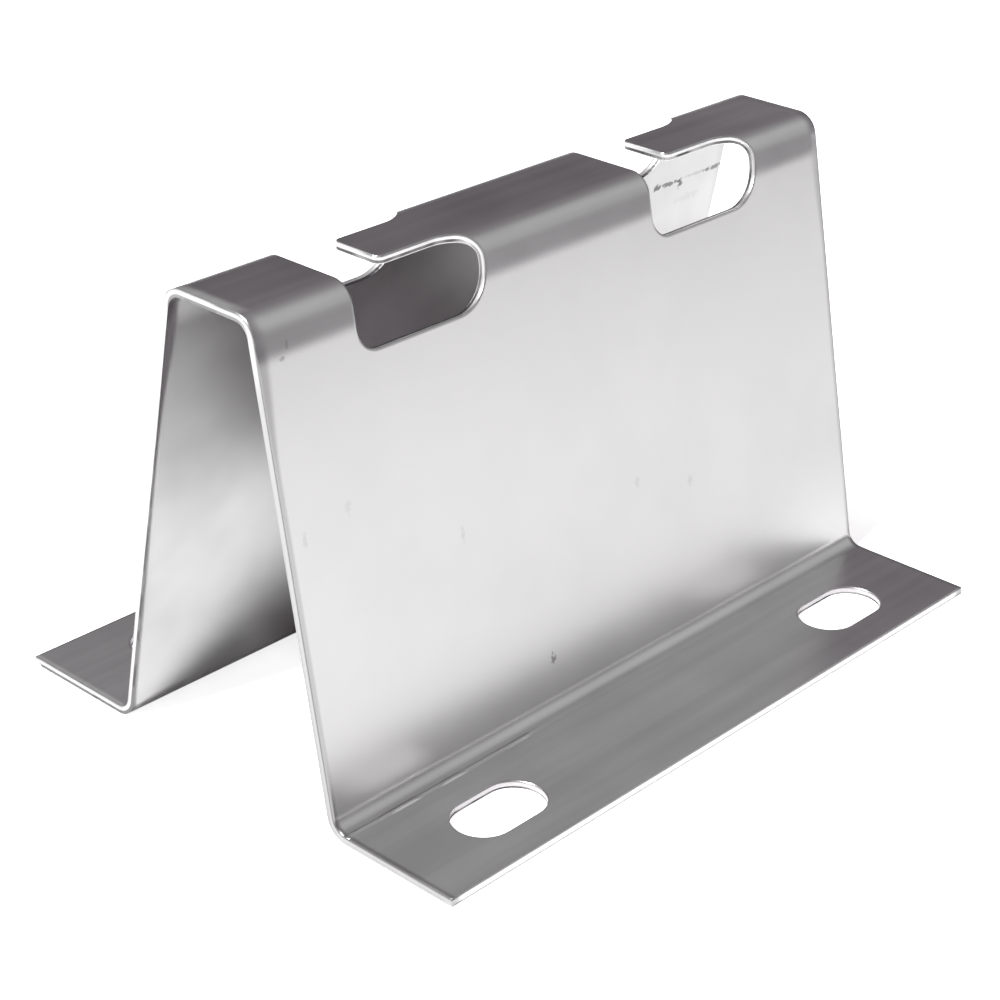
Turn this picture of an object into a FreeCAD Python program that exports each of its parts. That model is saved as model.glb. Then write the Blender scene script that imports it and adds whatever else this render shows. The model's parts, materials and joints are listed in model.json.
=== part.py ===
"""Hat-section rack bracket, folded from one stainless sheet.

The crown carries two hook notches for the wires of a mesh rack, and each foot has two
obround bolt slots. X runs along the folds, Y across them and Z up. The origin is under
the middle of the bracket, on the plane that its feet stand on.
"""
import FreeCAD, Part
import os
from math import asin, cos, pi, radians, sin, tan

from FreeCAD import Base, Vector

# Sheet and folds
sheet = 1.0                # thickness of the sheet
crown_inside_radius = 2.0  # inside radius of the two upper folds
foot_inside_radius = 2.0   # inside radius of the two lower folds
neutral_share = 0.44       # depth of the unstretched layer from a fold's inside, by thickness

# Section across the folds
height = 60.0              # underside of the feet to the top of the crown
crown_flat = 9.0           # flat strip of the crown, between the upper folds
wall_lean = 11.0           # lean of each wall from upright, in degrees
foot_width = 18.3          # from the wall's outer face, where it meets the foot, to the edge

# Hook notches, cut in the flat sheet
hook_count = 2
hook_pitch = 50.0          # pitch of the rack's wires
hook_length = 20.7         # along X, from the straight cut to the end of the slot
entry_gap = 7.5            # opening in the crown that a wire drops through
slot_drop = 5.8            # depth of the slot in the wall, below the upper fold
slot_corner = 3.0          # corner of the slot below the opening
tongue_inset = 0.8         # from the edge of the crown's flat strip to the tongue's side
tongue_corner = 1.0        # corners of the tongue's free end
start_margin = 14.3        # from the bracket's end to the first notch
end_margin = 13.0          # from the last notch to the bracket's other end

# Bolt slots in the feet
bolt_slot_length = 13.0
bolt_slot_width = 7.8
bolt_slot_margin = 16.25   # from the bracket's end to the middle of the slot

# Form that follows from the sizes
lean = radians(wall_lean)
fold_angle = pi / 2 - lean
crown_outside_radius = crown_inside_radius + sheet
fold_stretch = (crown_inside_radius + sheet * neutral_share) * fold_angle
length = start_margin + hook_pitch * (hook_count - 1) + hook_length + end_margin
crown_half = crown_flat / 2
crown_corner = crown_half + crown_outside_radius * tan(fold_angle / 2)
foot_corner = crown_corner + (height - sheet) * tan(lean)
foot_flat_start = foot_corner + foot_inside_radius * tan(fold_angle / 2)
foot_edge = foot_corner + foot_width
bolt_slot_line = (foot_flat_start + foot_edge) / 2
crown_centre = Vector(0, -crown_half, height - crown_outside_radius)
foot_centre = Vector(0, -foot_flat_start, sheet + foot_inside_radius)

# End of a hook's slot, a half circle in the flat sheet that crosses the fold's two edges
tongue_half = crown_half - tongue_inset
slot_radius = (tongue_inset + fold_stretch + slot_drop) / 2
slot_end_centre = hook_length - slot_radius
slot_middle = tongue_half + slot_radius
upper_edge_angle = asin((crown_half - slot_middle) / slot_radius)
upper_edge_x = slot_end_centre + slot_radius * cos(upper_edge_angle)
lower_edge_angle = asin((crown_half + fold_stretch - slot_middle) / slot_radius)
lower_edge_x = slot_end_centre + slot_radius * cos(lower_edge_angle)

# Straight cutters run past the sheet's faces by this much
reach = crown_inside_radius / 4


def mirrored(shape):
    """The same shape on the other side of the bracket's middle plane."""
    return shape.mirror(Vector(0, 0, 0), Vector(0, 1, 0))


def drawn(start, steps):
    """Curves from start through steps: one point draws a line, two points draw an arc."""
    curves = []
    for step in steps:
        points = [start] + step
        curve = Part.LineSegment(*points) if len(step) == 1 else Part.Arc(*points)
        curves.append(curve.toShape())
        start = step[-1]
    return curves


def flat_cutter(start, steps, floor):
    """Prism through the sheet, drawn in the XY plane, whose lower face is below floor."""
    corners = [[Vector(x, y, 0) for x, y in step] for step in steps]
    opening = Part.Face(Part.Wire(drawn(Vector(*start), corners)))
    opening.translate(Vector(0, 0, floor - reach))
    return opening.extrude(Vector(0, 0, sheet + 2 * reach))


def round_middle(centre_x, centre_y, radius, angle):
    """Middle point of a round corner."""
    return centre_x + radius * cos(angle), centre_y + radius * sin(angle)


def folded_sheet():
    """The hat section, run along the whole length."""
    def crown_fold(radius, share):
        angle = fold_angle * share
        return crown_centre + Vector(0, -radius * sin(angle), radius * cos(angle))

    def foot_fold(radius, share):
        angle = fold_angle * share
        return foot_centre + Vector(0, radius * sin(angle), -radius * cos(angle))

    inner, outer = crown_inside_radius, crown_outside_radius
    near, far = foot_inside_radius, foot_inside_radius + sheet
    half = drawn(Vector(0, 0, height), [
        [crown_fold(outer, 0)],
        [crown_fold(outer, 0.5), crown_fold(outer, 1)],
        [foot_fold(near, 1)],
        [foot_fold(near, 0.5), foot_fold(near, 0)],
        [Vector(0, -foot_edge, sheet)],
        [Vector(0, -foot_edge, 0)],
        [foot_fold(far, 0)],
        [foot_fold(far, 0.5), foot_fold(far, 1)],
        [crown_fold(inner, 1)],
        [crown_fold(inner, 0.5), crown_fold(inner, 0)],
        [Vector(0, 0, height - sheet)],
    ])
    section = Part.Wire(Part.__sortEdges__(half + [mirrored(edge) for edge in half]))
    body = Part.Face(section).extrude(Vector(length, 0, 0))
    return body.translated(Vector(-length / 2, 0, 0))


def crown_cutter():
    """Opening through the flat crown, around the tongue with its two round corners."""
    side, tip = tongue_half - tongue_corner, entry_gap + tongue_corner
    turn = (upper_edge_angle - pi / 2) / 2
    return flat_cutter((0, -crown_half), [
        [(upper_edge_x, -crown_half)],
        [round_middle(slot_end_centre, -slot_middle, slot_radius, -turn), (slot_end_centre, -tongue_half)],
        [(tip, -tongue_half)],
        [round_middle(tip, -side, tongue_corner, pi * 1.25), (entry_gap, -side)],
        [(entry_gap, side)],
        [round_middle(tip, side, tongue_corner, pi * 0.75), (tip, tongue_half)],
        [(slot_end_centre, tongue_half)],
        [round_middle(slot_end_centre, slot_middle, slot_radius, turn), (upper_edge_x, crown_half)],
        [(0, crown_half)],
        [(0, -crown_half)],
    ], height - sheet)


def fold_straight_cutter():
    """Straight run of the slot over one upper fold."""
    inner, outer = crown_inside_radius - reach, crown_outside_radius + reach
    corners = [(0, inner), (slot_end_centre, inner), (slot_end_centre, outer), (0, outer), (0, inner)]
    run = Part.Face(Part.makePolygon([crown_centre + Vector(x, 0, z) for x, z in corners]))
    return run.revolve(crown_centre, Vector(1, 0, 0), 90 - wall_lean)


def fold_round_cutter():
    """Round end of the slot over one upper fold, with its wall square to the bent sheet.

    The arc of the flat sheet is drawn on the fold's inside face, where one direction is
    an angle and the other a length, and then thickened through the sheet.
    """
    barrel = Part.Cylinder(Part.Circle(crown_centre, Vector(1, 0, 0), crown_inside_radius))
    turn = fold_angle / fold_stretch
    middle = (slot_middle - crown_half) * turn
    round_end = Part.Geom2d.Ellipse2d(Base.Vector2d(middle, hook_length),
                                      Base.Vector2d(middle + slot_radius * turn, slot_end_centre),
                                      Base.Vector2d(middle, slot_end_centre))
    corners = [Base.Vector2d(fold_angle, lower_edge_x), Base.Vector2d(fold_angle, slot_end_centre),
               Base.Vector2d(0, slot_end_centre), Base.Vector2d(0, upper_edge_x)]
    curves = [Part.Geom2d.Line2dSegment(*pair) for pair in zip(corners, corners[1:])]
    curves.append(Part.Geom2d.ArcOfEllipse2d(round_end, upper_edge_angle, lower_edge_angle))
    patch = Part.Face(barrel, Part.Wire([curve.toShape(barrel) for curve in curves]))
    patch.validate()
    return patch.makeOffsetShape(sheet, 0.0001, fill=True)


def wall_cutter():
    """Rest of the slot in one wall, drawn flat from the upper fold's lower edge down."""
    centre_y = slot_radius - slot_drop
    turn = (lower_edge_angle + pi / 2) / 2
    cutter = flat_cutter((0, 0), [
        [(0, slot_corner - slot_drop)],
        [round_middle(slot_corner, slot_corner - slot_drop, slot_corner, pi * 1.25),
         (slot_corner, -slot_drop)],
        [(slot_end_centre, -slot_drop)],
        [round_middle(slot_end_centre, centre_y, slot_radius, -turn), (lower_edge_x, 0)],
        [(0, 0)],
    ], crown_inside_radius)
    cutter.rotate(Vector(0, 0, 0), Vector(1, 0, 0), 90 - wall_lean)
    return cutter.translated(crown_centre)


def bolt_slot_cutter():
    """Obround slot through a foot, with its middle on the Z axis."""
    side = bolt_slot_width / 2
    end = bolt_slot_length / 2
    run = end - side
    return flat_cutter((-run, -side), [
        [(run, -side)],
        [(end, 0), (run, side)],
        [(-run, side)],
        [(-end, 0), (-run, -side)],
    ], 0)


def bracket():
    """The folded sheet with its hook notches and bolt slots cut."""
    body = folded_sheet()
    sides = [fold_straight_cutter(), fold_round_cutter(), wall_cutter()]
    hook_cutters = [crown_cutter()] + sides + [mirrored(side) for side in sides]
    for number in range(hook_count):
        place = Vector(start_margin - length / 2 + hook_pitch * number, 0, 0)
        for cutter in hook_cutters:
            body = body.cut(cutter.translated(place))
    bolt_slot_place = length / 2 - bolt_slot_margin
    for x in (-bolt_slot_place, bolt_slot_place):
        for y in (-bolt_slot_line, bolt_slot_line):
            body = body.cut(bolt_slot_cutter().translated(Vector(x, y, 0)))
    return body.removeSplitter()


os.makedirs("parts", exist_ok=True)
result = bracket()
result.exportStep("parts/bracket.step")
print("bracket", result.BoundBox, "volume", result.Volume, "solids", len(result.Solids))
print("valid", result.isValid(), "faces", len(result.Faces), "foot edge", foot_edge, foot_corner)
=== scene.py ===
"""Stainless hat-section rack bracket on a pale floor, seen from the photograph's angle."""
import json
import math

import bpy
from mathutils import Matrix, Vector

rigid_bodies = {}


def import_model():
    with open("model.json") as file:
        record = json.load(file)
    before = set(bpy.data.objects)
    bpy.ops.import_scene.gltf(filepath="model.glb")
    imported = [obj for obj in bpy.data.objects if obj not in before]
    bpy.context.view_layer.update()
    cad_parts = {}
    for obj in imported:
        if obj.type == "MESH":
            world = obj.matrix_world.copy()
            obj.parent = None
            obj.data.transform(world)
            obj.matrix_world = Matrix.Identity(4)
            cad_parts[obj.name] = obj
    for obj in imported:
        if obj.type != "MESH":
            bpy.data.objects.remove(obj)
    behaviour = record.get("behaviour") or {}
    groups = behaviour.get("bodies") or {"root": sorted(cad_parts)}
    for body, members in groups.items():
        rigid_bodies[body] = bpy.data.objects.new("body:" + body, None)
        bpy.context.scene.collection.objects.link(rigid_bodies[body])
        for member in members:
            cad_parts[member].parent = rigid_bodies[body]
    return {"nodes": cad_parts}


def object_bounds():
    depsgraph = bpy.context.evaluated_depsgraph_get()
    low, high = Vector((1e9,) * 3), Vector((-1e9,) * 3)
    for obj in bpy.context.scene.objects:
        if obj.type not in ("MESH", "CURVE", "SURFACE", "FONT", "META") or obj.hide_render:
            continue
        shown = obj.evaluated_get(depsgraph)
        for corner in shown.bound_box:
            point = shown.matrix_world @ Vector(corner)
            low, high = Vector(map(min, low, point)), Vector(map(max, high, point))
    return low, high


for stray in list(bpy.data.objects):
    bpy.data.objects.remove(stray)
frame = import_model()
cad_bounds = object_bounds()
scene = bpy.context.scene
bracket = frame["nodes"]["bracket"]

# Section of the sheet, as in the CAD, in metres
mm = 0.001
half_length, _, height = cad_bounds[1]
sheet = 1 * mm
lean = math.radians(11)
crown_half = 4.5 * mm
crown_outside_radius = 3 * mm
foot_inside_radius = 2 * mm

# Where each fold's centre is, across the section and up
fold_corner = math.tan((math.pi / 2 - lean) / 2)
foot_corner = crown_half + crown_outside_radius * fold_corner + (height - sheet) * math.tan(lean)
crown_fold = (crown_half, height - crown_outside_radius)
foot_fold = (foot_corner + foot_inside_radius * fold_corner, sheet + foot_inside_radius)


# Node helpers

class Nodes:
    """Short calls that add linked nodes to one tree."""

    def __init__(self, tree):
        self.tree = tree
        tree.nodes.clear()

    def add(self, kind, inputs=None, **settings):
        """New node, with each input either linked or set to a value."""
        node = self.tree.nodes.new(kind)
        for name, value in settings.items():
            setattr(node, name, value)
        for socket, value in (inputs or {}).items():
            if isinstance(value, bpy.types.NodeSocket):
                self.tree.links.new(value, node.inputs[socket])
            else:
                node.inputs[socket].default_value = value
        return node

    def maths(self, operation, *values, clamp=False):
        node = self.add("ShaderNodeMath", dict(enumerate(values)), operation=operation, use_clamp=clamp)
        return node.outputs[0]

    def chain(self, operation, value, *others):
        for other in others:
            value = self.maths(operation, value, other)
        return value

    def times(self, *values):
        return self.chain("MULTIPLY", *values)

    def plus(self, *values):
        return self.chain("ADD", *values)

    def minus(self, *values):
        return self.chain("SUBTRACT", *values)

    def most(self, *values):
        return self.chain("MAXIMUM", *values)

    def absolute(self, value):
        return self.maths("ABSOLUTE", value)

    def ramp(self, value, low, high, to_low=0.0, to_high=1.0, shape="SMOOTHSTEP"):
        """Value between low and high, carried over to the range from to_low to to_high."""
        node = self.add("ShaderNodeMapRange", {0: value, 1: low, 2: high, 3: to_low, 4: to_high},
                        interpolation_type=shape)
        return node.outputs[0]

    def window(self, value, start, full, end_full, end):
        """Share that rises from start to full and falls from end_full to end."""
        return self.times(self.ramp(value, start, full), self.ramp(value, end, end_full))

    def mix(self, share, none, full):
        return self.add("ShaderNodeMix", {0: share, 2: none, 3: full}).outputs[0]

    def mix_colors(self, share, none, full):
        return self.add("ShaderNodeMix", {0: share, 6: none, 7: full}, data_type="RGBA").outputs[2]

    def axes(self, vector):
        return self.add("ShaderNodeSeparateXYZ", {0: vector}).outputs

    def vector(self, operation, *vectors):
        return self.add("ShaderNodeVectorMath", dict(enumerate(vectors)), operation=operation).outputs[0]

    def measure(self, operation, *vectors):
        node = self.add("ShaderNodeVectorMath", dict(enumerate(vectors)), operation=operation)
        return node.outputs["Value"]

    def noise(self, place, scale, detail=2.0):
        node = self.add("ShaderNodeTexNoise", {"Vector": place, "Scale": scale, "Detail": detail})
        return node.outputs["Fac"]

    def stretched(self, place, factors):
        return self.add("ShaderNodeMapping", {"Vector": place, "Scale": factors}).outputs[0]


def new_nodes(owner):
    """Empty node tree of a material or world."""
    owner.use_nodes = True
    return owner.node_tree


# Stainless sheet: a tone is a base colour from 0 to 1, and a depth runs from 0 at the outer skin to 1

# Skin of the sheet
# The inner side's lower tone is painted shade for the inside of the bracket
inner_shaded_tone = 0.63
outer_tone = 0.66
redness = 0.995            # green and blue, by red
streak_tone = 0.04         # of the lengthwise streaks on the crown and feet, either way
mottle_tone = 0.02         # of the clouds, either way
inner_mottle = 3.0         # stronger clouds on the inner side, by this factor
skin_roughness = (0.28, 0.31)
cut_roughness = 0.12       # added on the cut walls

# Noises: features per metre, and the values between which each one is spread
streak_scale = 420.0
streak_squeeze = 0.05      # along the folds
cloud_scale = 70.0
patch_scale = 260.0
ragged_scale = 1700.0
noise_low, noise_high = 0.3, 0.7

# Cut walls: how far a face may turn from the way out of the sheet, from skin to cut, as cosines
cut_turn = (0.85, 0.6)

# Places, in metres from the middle plane: from the crown to the walls, and from the foot's edge inwards
wall_start = (0.006, 0.007)
foot_side = (0.0362, 0.0352)

# Rounded edges of the punched side, and the depths between which the rounding ends
edge_radius = 0.00045
edge_depths = (0.6, 0.4)

# Bend tails: places between which the skin falls back beside the upper folds, and how far
wall_tail = (0.0542, 0.0595)
wall_tail_fall = 0.00048
crown_tail = (0.0019, 0.0058)
crown_tail_fall = 0.00025

# Raised bend line by the front foot: Y of its start, full height and end, and X between which it fades
lip_line = (-0.0207, -0.0203, -0.0201, -0.0197)
lip_height = 0.00028
lip_fade = (-0.025, -0.012)
lip_far_share = 0.12       # of its height, where it has faded
# The bend line's paler tone is a painted highlight
lip_painted_highlight = 0.3             # paler at its full height

# Rolled ends: their width by height, their slope, and how much painted shade darkens the front wall there
end_heights = (0.042, 0.057)
end_widths = (0.0009, 0.002)
end_slope = 0.35
end_shade = 0.17

# Dip of the crown's far end: heights from fold to flat, X between which it grows, and its tip towards +X
dip_heights = (0.0585, 0.0592)
dip_start, dip_end = 0.033, 0.044
dip_tip = 0.08

# Torn part of the cut walls: the depths where it starts, its tone, and the burr past it
notch_tear = 0.5
slot_tear = 0.7
low_end_tear, high_end_tear = 0.5, 0.88
crown_end_earlier = 0.3
tear_blend = 0.1
tear_tone = 0.12
burr_depths = (0.88, 0.95)
front_end_tear_share = 0.15
end_wear = 0.85

# Tones of the cut walls; painted shade makes the front wall's end darker than the crown's and the rear
# wall's
notch_tone = 0.92
foot_edge_tone = 1.0
wall_end_tone = 0.54
crown_end_tone = 0.7
rear_end_tone = 0.74
# The rolled rim's lower tone is painted shade, on the front side only
rolled_rim_shade = 0.5         # tone at the rolled rim, by the rest of the cut wall

# Handling marks in millimetres: X and Z on the walls, half the width and height, and how much darker
front_marks = [(-45.6, 54.7, 0.3, 0.3, 0.22), (-44.7, 56.0, 0.2, 0.5, 0.12),
               (-46.5, 34.8, 0.35, 0.7, 0.07), (-39.8, 36.1, 0.5, 0.6, 0.05),
               (-23.3, 27.4, 0.3, 0.9, 0.07), (7.2, 23.6, 0.4, 0.6, 0.06),
               (17.1, 20.4, 0.4, 0.6, 0.06), (-11.4, 7.1, 0.45, 0.8, 0.35)]
rear_marks = [(35.6, 49.4, 0.8, 0.4, 0.45), (38.4, 49.3, 1.3, 0.3, 0.4),
              (40.6, 49.0, 0.5, 0.7, 0.45), (44.0, 49.5, 4.0, 0.2, 0.12),
              (47.5, 49.5, 1.6, 0.3, 0.3), (42.5, 46.3, 2.5, 0.5, 0.05)]
mark_rim = (1.3, 0.6)      # where a mark starts and is full, by its half width
mark_ragged = 0.55


class Skin(Nodes):
    """Material tree of the sheet, with the measures that the parts of its look share."""

    def __init__(self, tree):
        super().__init__(tree)
        self.place = self.add("ShaderNodeTexCoord").outputs["Object"]
        self.facing = self.add("ShaderNodeNewGeometry").outputs["True Normal"]
        self.x, self.y, self.z = self.axes(self.place)
        self.side = self.absolute(self.y)
        self.from_middle = self.absolute(self.x)
        self.out, self.depth = self.section()
        self.levelness = self.axes(self.out)[2]
        self.outward = self.measure("DOT_PRODUCT", self.facing, self.out)
        self.cut = self.ramp(self.absolute(self.outward), *cut_turn)
        self.on_front = self.ramp(self.y, -wall_start[0], -wall_start[1])
        self.on_rear = self.ramp(self.y, *wall_start)
        self.inside_ends = self.ramp(self.from_middle, half_length - 0.5 * mm, half_length - 2 * mm)
        self.inside_sides = self.ramp(self.side, *foot_side)
        self.cloud = self.noise(self.place, cloud_scale)
        self.patches = self.noise(self.place, patch_scale, 1.0)
        self.end_width = self.ramp(self.z, *end_heights, *end_widths)
        self.end_share = self.maths("DIVIDE", self.minus(self.from_middle, half_length), self.end_width)
        # Bend line by the front foot: raised by a bump, and made paler as a painted highlight
        self.lip = self.times(self.window(self.y, *lip_line), self.ramp(self.patches, 0.4, 0.6, 0.4, 1.0),
                              self.ramp(self.x, *lip_fade, 1.0, lip_far_share))

    def section(self):
        """Direction out of the sheet, and depth in it, for a point of the hat section."""
        is_upper = self.maths("GREATER_THAN", self.z, height / 2)
        from_crown = [self.minus(self.side, crown_fold[0]), self.minus(self.z, crown_fold[1])]
        from_foot = [self.minus(foot_fold[0], self.side), self.minus(foot_fold[1], self.z)]
        across, up = [self.mix(is_upper, *pair) for pair in zip(from_foot, from_crown)]
        out_across = self.most(across, 0.0)
        out_up = self.most(up, self.times(out_across, math.tan(lean)))
        squares = self.plus(self.times(out_across, out_across), self.times(out_up, out_up))
        span = self.maths("SQRT", squares)
        out_across = self.maths("DIVIDE", out_across, span)
        out_up = self.maths("DIVIDE", out_up, span)
        distance = self.plus(self.times(across, out_across), self.times(up, out_up))
        depth = self.mix(is_upper, self.minus(distance, foot_inside_radius),
                         self.minus(crown_outside_radius, distance))
        turned = self.times(out_across, self.maths("SIGN", self.y))
        out = self.add("ShaderNodeCombineXYZ", {"Y": turned, "Z": out_up}).outputs[0]
        return out, self.maths("DIVIDE", depth, sheet)

    def spread(self, noise, reach, low=noise_low, high=noise_high):
        """Noise as an amount from reach below nothing to reach above it."""
        return self.ramp(noise, low, high, -reach, reach)

    def normal(self):
        """Direction of the skin: rounded edges, bend tails, bend line, rolled ends and the crown's dip."""
        rounded = self.add("ShaderNodeBevel", {"Radius": edge_radius}, samples=8).outputs[0]
        on_punched_side = self.ramp(self.depth, *edge_depths)
        rounded = self.add("ShaderNodeMix", {0: on_punched_side, 4: self.facing, 5: rounded},
                           data_type="VECTOR").outputs[1]
        tails = self.plus(self.ramp(self.z, *wall_tail, wall_tail_fall, 0.0, "SMOOTHERSTEP"),
                          self.ramp(self.side, *crown_tail, 0.0, -crown_tail_fall, "SMOOTHERSTEP"))
        rolled_end = self.times(self.ramp(self.end_share, -1.0, 1.0, 0.0, -end_slope, "SMOOTHERSTEP"),
                                self.end_width)
        form = self.plus(self.times(self.lip, lip_height), rolled_end, tails)
        form = self.times(form, self.outward)
        bent = self.add("ShaderNodeBump", {"Height": form, "Distance": 1.0, "Normal": rounded}).outputs[0]
        dip = self.times(self.ramp(self.levelness, 0.9, 1.0), self.ramp(self.z, *dip_heights),
                         self.ramp(self.x, dip_start, dip_end, 0.0, dip_tip))
        dip = self.add("ShaderNodeCombineXYZ", {"X": dip}).outputs[0]
        return self.vector("NORMALIZE", self.vector("ADD", bent, dip))

    def torn(self):
        """Share of torn metal: the inner band of the cut walls, without the burr at its rim; on up-facing
        cut walls its full strength, without the burr, is painted shade.
        """
        at_crown = self.ramp(self.z, 0.057, 0.059)
        above_foot = self.ramp(self.z, 0.002, 0.004)
        facing_up = self.ramp(self.axes(self.facing)[2], 0.8, 0.95)
        end_start = self.minus(self.ramp(self.z, 0.005, 0.05, low_end_tear, high_end_tear),
                               self.times(at_crown, crown_end_earlier))
        start = self.mix(self.inside_ends, end_start, self.mix(above_foot, slot_tear, notch_tear))
        band = self.ramp(self.minus(self.depth, start), 0.0, tear_blend)
        burr = self.times(self.ramp(self.depth, *burr_depths), self.inside_ends, above_foot,
                          self.minus(1.0, facing_up))
        end_strength = self.times(self.ramp(self.y, -0.0075, -0.005, front_end_tear_share, 1.0),
                                  self.ramp(at_crown, 0.0, 1.0, 1.0, 0.8, "LINEAR"))
        # Up-facing cut walls take the dark band in full and no burr: painted shade
        tear_and_shade = self.most(self.ramp(self.patches, 0.35, 0.6, 0.55, 1.0), facing_up,
                         self.ramp(self.inside_ends, 1.0, 0.0, 0.0, end_wear))
        return self.times(band, self.minus(1.0, burr), self.most(end_strength, self.inside_ends), tear_and_shade,
                          self.inside_sides, self.cut)

    def skin_tone(self):
        """Tone of the rolled skin, with its streaks, clouds, the bend line's painted highlight and the
        painted shade at the front wall's end.
        """
        along = self.stretched(self.place, (streak_squeeze, 1.0, 1.0))
        streaks = self.times(self.spread(self.noise(along, streak_scale), streak_tone),
                             self.ramp(self.levelness, 0.25, 0.6))
        mottle = self.times(self.spread(self.cloud, mottle_tone),
                            self.ramp(self.outward, -0.5, 0.5, inner_mottle, 1.0))
        # Painted shade: the inner skin takes the lower tone
        tone = self.plus(self.ramp(self.outward, -0.5, 0.5, inner_shaded_tone, outer_tone), mottle, streaks,
                         self.times(self.lip, lip_painted_highlight))
        # Painted shade beside the front wall's rolled end
        shade = self.times(self.ramp(self.end_share, -1.0, -0.4, 0.0, end_shade),
                           self.ramp(self.z, 0.058, 0.055), self.on_front)
        return self.minus(tone, shade)

    def marked(self, tone):
        """Tone with the handling marks of the front wall's outside and the rear wall's inside."""
        ragged = self.spread(self.noise(self.place, ragged_scale, 1.0), mark_ragged, 0.25, 0.75)
        front = self.times(self.on_front, self.ramp(self.outward, 0.7, 0.9))
        rear = self.times(self.on_rear, self.ramp(self.outward, -0.7, -0.9))
        for marks, on_wall in [(front_marks, front), (rear_marks, rear)]:
            for x, z, half_width, half_height, darker in marks:
                offset = self.vector("SUBTRACT", self.place, (x * mm, 0, z * mm))
                offset = self.stretched(offset, (1 / (half_width * mm), 0, 1 / (half_height * mm)))
                away = self.plus(self.measure("LENGTH", offset), ragged)
                tone = self.minus(tone, self.times(self.ramp(away, *mark_rim), on_wall, darker))
        return tone

    def cut_tone(self):
        """Tone of the burnished part of the cut walls, with painted shade on the front wall's end and on the
        rolled rim.
        """
        # Painted shade: the front wall's end takes the lowest tone
        at_end = self.most(self.ramp(self.z, 0.05, 0.057, wall_end_tone, crown_end_tone),
                           self.ramp(self.y, -0.005, 0.0, wall_end_tone, rear_end_tone))
        elsewhere = self.ramp(self.inside_sides, 1.0, 0.0, notch_tone, foot_edge_tone)
        # Painted shade on the rolled rim, except on the rear side
        rim = self.most(self.ramp(self.depth, 0.12, 0.3, rolled_rim_shade, 1.0), self.ramp(self.y, -0.004, 0.0))
        return self.times(self.mix(self.inside_ends, at_end, elsewhere), rim)

    def finish(self):
        """Shader and output of the whole look."""
        tone = self.mix(self.cut, self.marked(self.skin_tone()), self.cut_tone())
        tone = self.mix(self.torn(), tone, tear_tone)
        paler = self.times(tone, redness)
        color = self.add("ShaderNodeCombineColor", {0: tone, 1: paler, 2: paler}).outputs[0]
        roughness = self.plus(self.ramp(self.cloud, noise_low, noise_high, *skin_roughness),
                              self.times(self.cut, cut_roughness))
        shader = self.add("ShaderNodeBsdfPrincipled", {"Base Color": color, "Metallic": 1.0,
                                                       "Roughness": roughness, "Normal": self.normal()})
        self.add("ShaderNodeOutputMaterial", {"Surface": shader.outputs[0]})


stainless = bpy.data.materials.new("stainless_sheet")
Skin(new_nodes(stainless)).finish()
bracket.data.materials[0] = stainless


# Floor: painted shadow makes it darker where the bracket shades it, and it glows only to the camera and in
# reflections
floor_size = 8
open_paint = (0.9, 0.9, 0.9, 1)
shaded_paint = (0.46, 0.42, 0.455, 1)
foot_shade = 0.45          # under the feet, by the shade inside the tunnel
camera_glow = 0.8
mirror_glow = 0.255
# Painted light in the tunnel's near half
tunnel_glow = 0.65         # inside the tunnel, by the glow of the open floor
near_hold = 0.55           # how much of the glow is held back in front of the foot's near half


def floor_shares(nodes):
    """How far each place is shaded, and how far its glow shows in reflections."""
    x, y = nodes.axes(nodes.add("ShaderNodeTexCoord").outputs["Object"])[:2]
    side = nodes.absolute(y)
    from_middle = nodes.absolute(x)

    # Painted shadow under the feet, to just inside their edges and ends
    painted_shade_under_feet = nodes.times(nodes.ramp(side, 0.019, 0.021, 0.0, foot_shade),
                             nodes.ramp(side, 0.0362, 0.0345), nodes.ramp(from_middle, 0.0485, 0.0465))

    # Painted shadow in the tunnel, from its middle to just past the far end, and along the rear wall from
    # nearer; it also holds back the glow there
    rear_corner = nodes.times(nodes.ramp(y, 0.009, 0.013), nodes.ramp(x, -0.027, -0.021))
    deep = nodes.most(nodes.ramp(x, -0.005, 0.01), rear_corner)
    painted_tunnel_shade = nodes.times(nodes.ramp(side, 0.021, 0.019), deep, nodes.ramp(x, 0.064, 0.05))

    # Glowing: the open floor around the bracket, and the tunnel's near half, whose glow is painted light
    beyond = nodes.most(nodes.minus(from_middle, 0.049), nodes.minus(side, 0.037))
    painted_tunnel_light = nodes.times(nodes.ramp(y, 0.01, -0.006, 0.0, tunnel_glow),
                                nodes.ramp(side, 0.0215, 0.0195), nodes.ramp(x, 0.012, -0.006))

    # Held back as painted shade in reflections: the strip in front of the front foot
    painted_shade_by_foot = nodes.times(nodes.ramp(y, -0.17, -0.05), nodes.ramp(y, -0.036, -0.042),
                          nodes.ramp(x, -0.01, 0.03, near_hold, 1.0))
    glowing = nodes.times(nodes.most(nodes.ramp(beyond, -0.006, 0.014), painted_tunnel_light),
                          nodes.minus(1.0, nodes.most(painted_shade_by_foot, painted_tunnel_shade)))
    return nodes.plus(painted_shade_under_feet, painted_tunnel_shade), glowing


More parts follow.
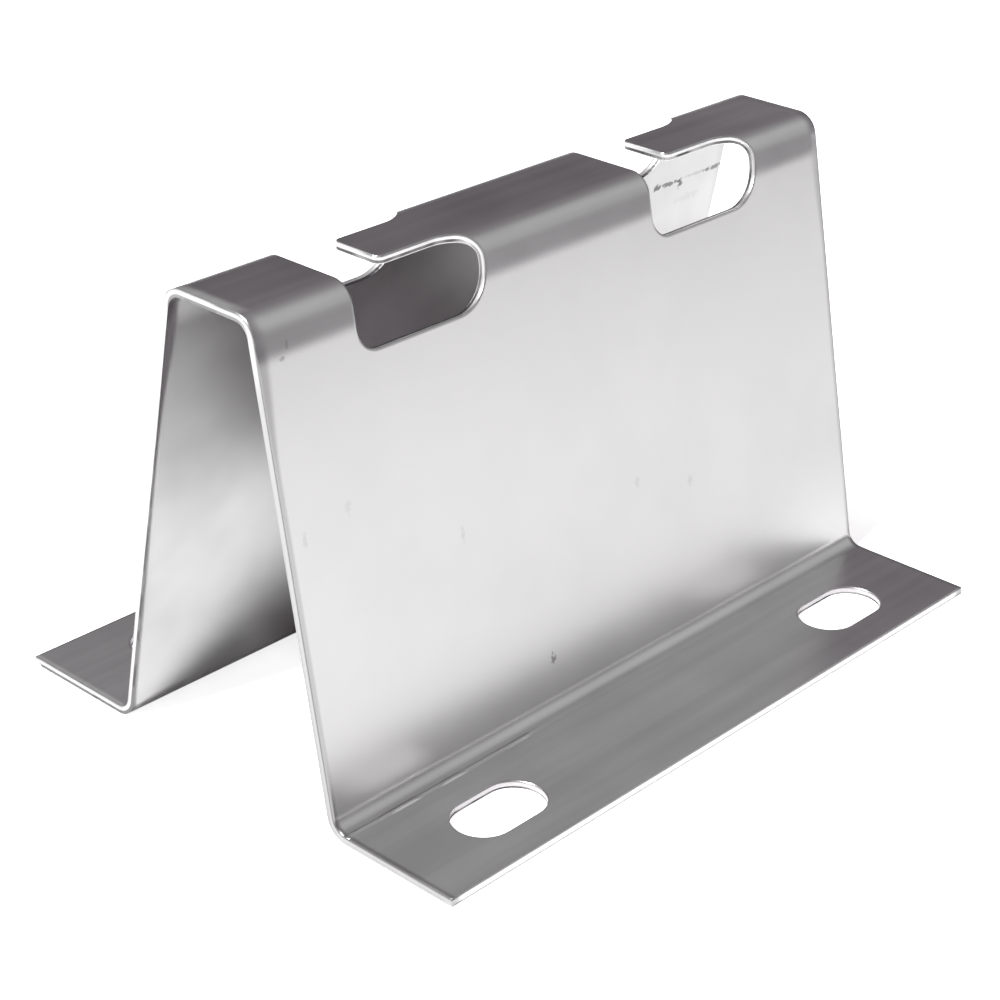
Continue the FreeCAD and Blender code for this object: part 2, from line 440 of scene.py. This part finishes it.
def floor():
    bpy.ops.mesh.primitive_plane_add(size=floor_size)
    plane = bpy.context.object
    plane.name = "floor"
    material = bpy.data.materials.new("pale_floor")
    nodes = Nodes(new_nodes(material))
    shaded, glowing = floor_shares(nodes)
    rays = nodes.add("ShaderNodeLightPath").outputs
    mirrored = nodes.maths("ADD", rays["Is Glossy Ray"], rays["Is Transmission Ray"], clamp=True)
    glow = nodes.plus(nodes.times(rays["Is Camera Ray"], camera_glow),
                      nodes.times(mirrored, glowing, mirror_glow))
    paint = nodes.add("ShaderNodeBsdfDiffuse", {"Color": nodes.mix_colors(shaded, open_paint, shaded_paint)})
    light = nodes.add("ShaderNodeEmission", {"Strength": glow})
    both = nodes.add("ShaderNodeAddShader", {0: paint.outputs[0], 1: light.outputs[0]})
    nodes.add("ShaderNodeOutputMaterial", {"Surface": both.outputs[0]})
    plane.data.materials.append(material)


# Studio room: soft lights and a dark corner, each with its azimuth and elevation in degrees, the cosines
# between which it grows, and its strength
broad_light = (-35, 37)
soft_lights = [(*broad_light, 0.82, 1.02, 0.295), (85, 33, 0.8, 0.98, 0.33), (36, 5, 0.955, 1.0, 0.12),
               (54, 42, 0.955, 0.99, 0.06)]
dark_corner = (43, 24, 0.94, 0.99, 0.05)
dim_level, bright_level = 0.12, 0.33   # of the room away from the broad light, and towards it
horizon_shade = 0.06                   # taken off low down on the broad light's side
shadow_tint = (1, 0.89, 0.985, 1)
tinted_levels = (0.12, 0.45)           # the tint fades out between these


def towards(azimuth, elevation):
    """Unit vector from compass angles in degrees, with azimuth 0 along +X."""
    turn, rise = math.radians(azimuth), math.radians(elevation)
    return Vector((math.cos(turn) * math.cos(rise), math.sin(turn) * math.cos(rise), math.sin(rise)))


def world():
    """Dim studio room that is white to the camera."""
    scene.world = bpy.data.worlds.new("studio")
    nodes = Nodes(new_nodes(scene.world))
    place = nodes.add("ShaderNodeTexCoord").outputs["Generated"]

    def match(azimuth, elevation):
        return nodes.measure("DOT_PRODUCT", place, towards(azimuth, elevation))

    def patch(azimuth, elevation, start, full, strength):
        return nodes.ramp(match(azimuth, elevation), start, full, 0.0, strength)

    near_broad = match(*broad_light)
    level = nodes.ramp(near_broad, 0.3, 0.85, dim_level, bright_level, "LINEAR")
    level = nodes.plus(level, *[patch(*light) for light in soft_lights])
    horizon = nodes.times(nodes.ramp(nodes.axes(place)[2], 0.3, 0.1),
                          nodes.ramp(near_broad, 0.7, 0.85, 0.0, horizon_shade))
    level = nodes.minus(level, patch(*dark_corner), horizon)
    level = nodes.most(level, nodes.add("ShaderNodeLightPath").outputs["Is Camera Ray"])
    tint = nodes.mix_colors(nodes.ramp(level, *tinted_levels), shadow_tint, (1, 1, 1, 1))
    back = nodes.add("ShaderNodeBackground", {"Color": tint, "Strength": level})
    nodes.add("ShaderNodeOutputWorld", {"Surface": back.outputs[0]})


def lamp(name, direction, distance, size, power):
    data = bpy.data.lights.new(name, "AREA")
    data.size = size
    data.energy = power
    made = bpy.data.objects.new(name, data)
    scene.collection.objects.link(made)
    made.location = direction * distance
    made.rotation_euler = direction.to_track_quat("Z", "Y").to_euler()


def camera(lens, location, angles):
    data = bpy.data.cameras.new("camera")
    data.lens = lens
    data.sensor_width = 36
    data.clip_start = 0.01
    made = bpy.data.objects.new("camera", data)
    scene.collection.objects.link(made)
    made.location = location
    made.rotation_euler = [math.radians(angle) for angle in angles]
    scene.camera = made


floor()
world()
lamp("key", towards(172, 48), distance=2.2, size=0.35, power=75)

# Fitted to the photograph's edges
camera(lens=87.68, location=(-0.2033963, -0.1863874, 0.1584711), angles=(63.112, -0.7575, -46.7307))

scene.view_settings.view_transform = "Standard"
